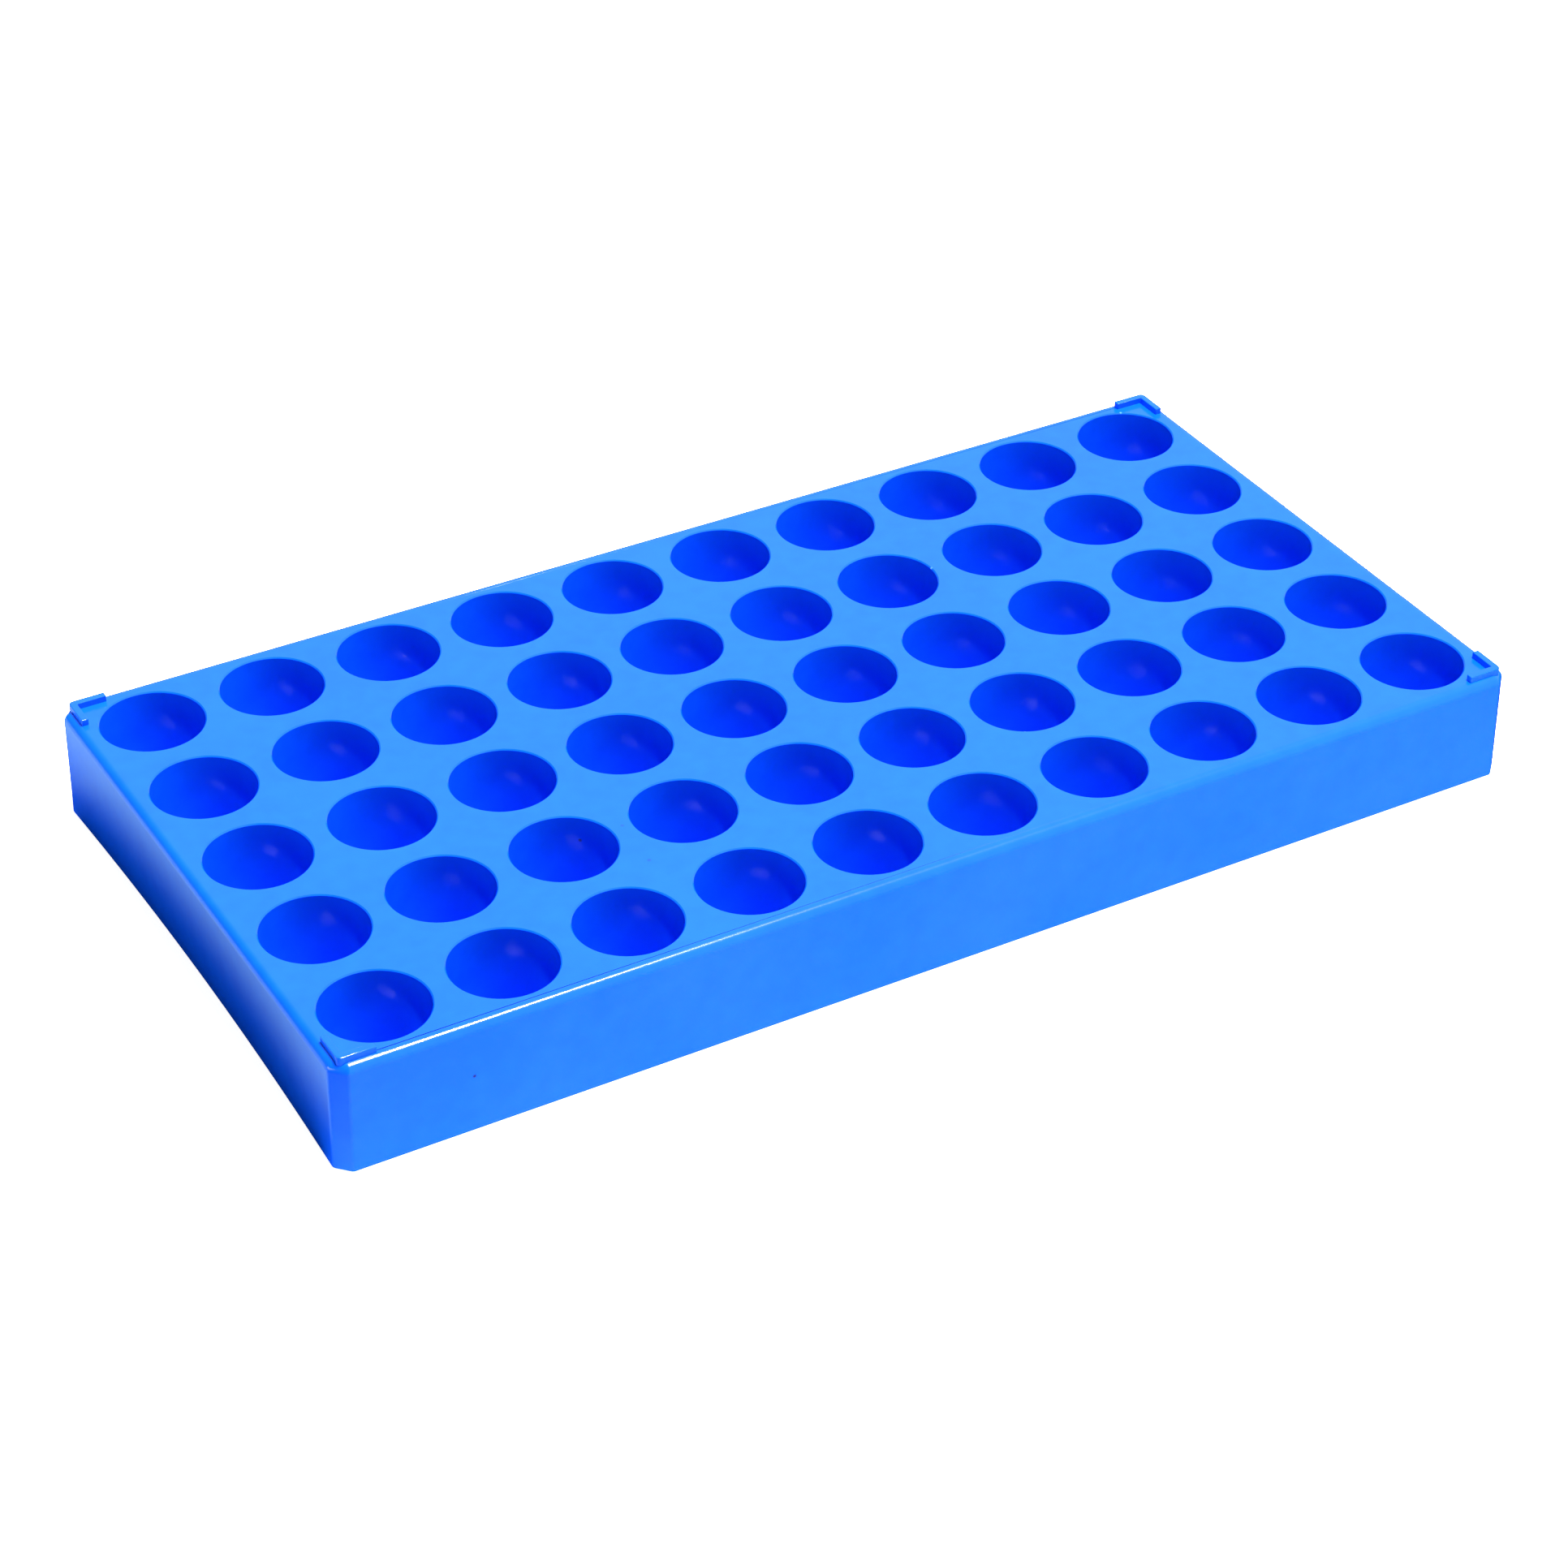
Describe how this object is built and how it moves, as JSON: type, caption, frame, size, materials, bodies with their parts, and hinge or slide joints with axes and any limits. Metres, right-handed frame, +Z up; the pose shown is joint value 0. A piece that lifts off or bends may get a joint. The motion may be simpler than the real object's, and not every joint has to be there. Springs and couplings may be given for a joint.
{
  "type": "cryogenic vial storage rack",
  "caption": "Shallow open moulded rack with a grid of round blind wells that hold cryogenic vials upright, and corner ribs for stacking.",
  "frame": {"origin": "middle of the footprint, on the surface the rack stands on", "axes": "+X along the long rows of wells, +Y from front to rear, +Z up; the front is a long side"},
  "size_m": [0.1616, 0.0822, 0.0155],
  "materials": {
    "rack_plastic": "satin moulded polypropylene, bright blue"
  },
  "bodies": {
    "root": {"well_a1": "rack_plastic", "well_a2": "rack_plastic", "well_a3": "rack_plastic", "well_a4": "rack_plastic", "well_a5": "rack_plastic", "well_a6": "rack_plastic", "well_a7": "rack_plastic", "well_a8": "rack_plastic", "well_a9": "rack_plastic", "well_a10": "rack_plastic", "well_b1": "rack_plastic", "well_b2": "rack_plastic", "well_b3": "rack_plastic", "well_b4": "rack_plastic", "well_b5": "rack_plastic", "well_b6": "rack_plastic", "well_b7": "rack_plastic", "well_b8": "rack_plastic", "well_b9": "rack_plastic", "well_b10": "rack_plastic", "well_c1": "rack_plastic", "well_c2": "rack_plastic", "well_c3": "rack_plastic", "well_c4": "rack_plastic", "well_c5": "rack_plastic", "well_c6": "rack_plastic", "well_c7": "rack_plastic", "well_c8": "rack_plastic", "well_c9": "rack_plastic", "well_c10": "rack_plastic", "well_d1": "rack_plastic", "well_d2": "rack_plastic", "well_d3": "rack_plastic", "well_d4": "rack_plastic", "well_d5": "rack_plastic", "well_d6": "rack_plastic", "well_d7": "rack_plastic", "well_d8": "rack_plastic", "well_d9": "rack_plastic", "well_d10": "rack_plastic", "well_e1": "rack_plastic", "well_e2": "rack_plastic", "well_e3": "rack_plastic", "well_e4": "rack_plastic", "well_e5": "rack_plastic", "well_e6": "rack_plastic", "well_e7": "rack_plastic", "well_e8": "rack_plastic", "well_e9": "rack_plastic", "well_e10": "rack_plastic", "front_wall": "rack_plastic", "rear_wall": "rack_plastic", "left_wall": "rack_plastic", "right_wall": "rack_plastic", "stacking_rib_front_left": "rack_plastic", "stacking_rib_front_right": "rack_plastic", "stacking_rib_rear_left": "rack_plastic", "stacking_rib_rear_right": "rack_plastic"}
  },
  "joints": []
}
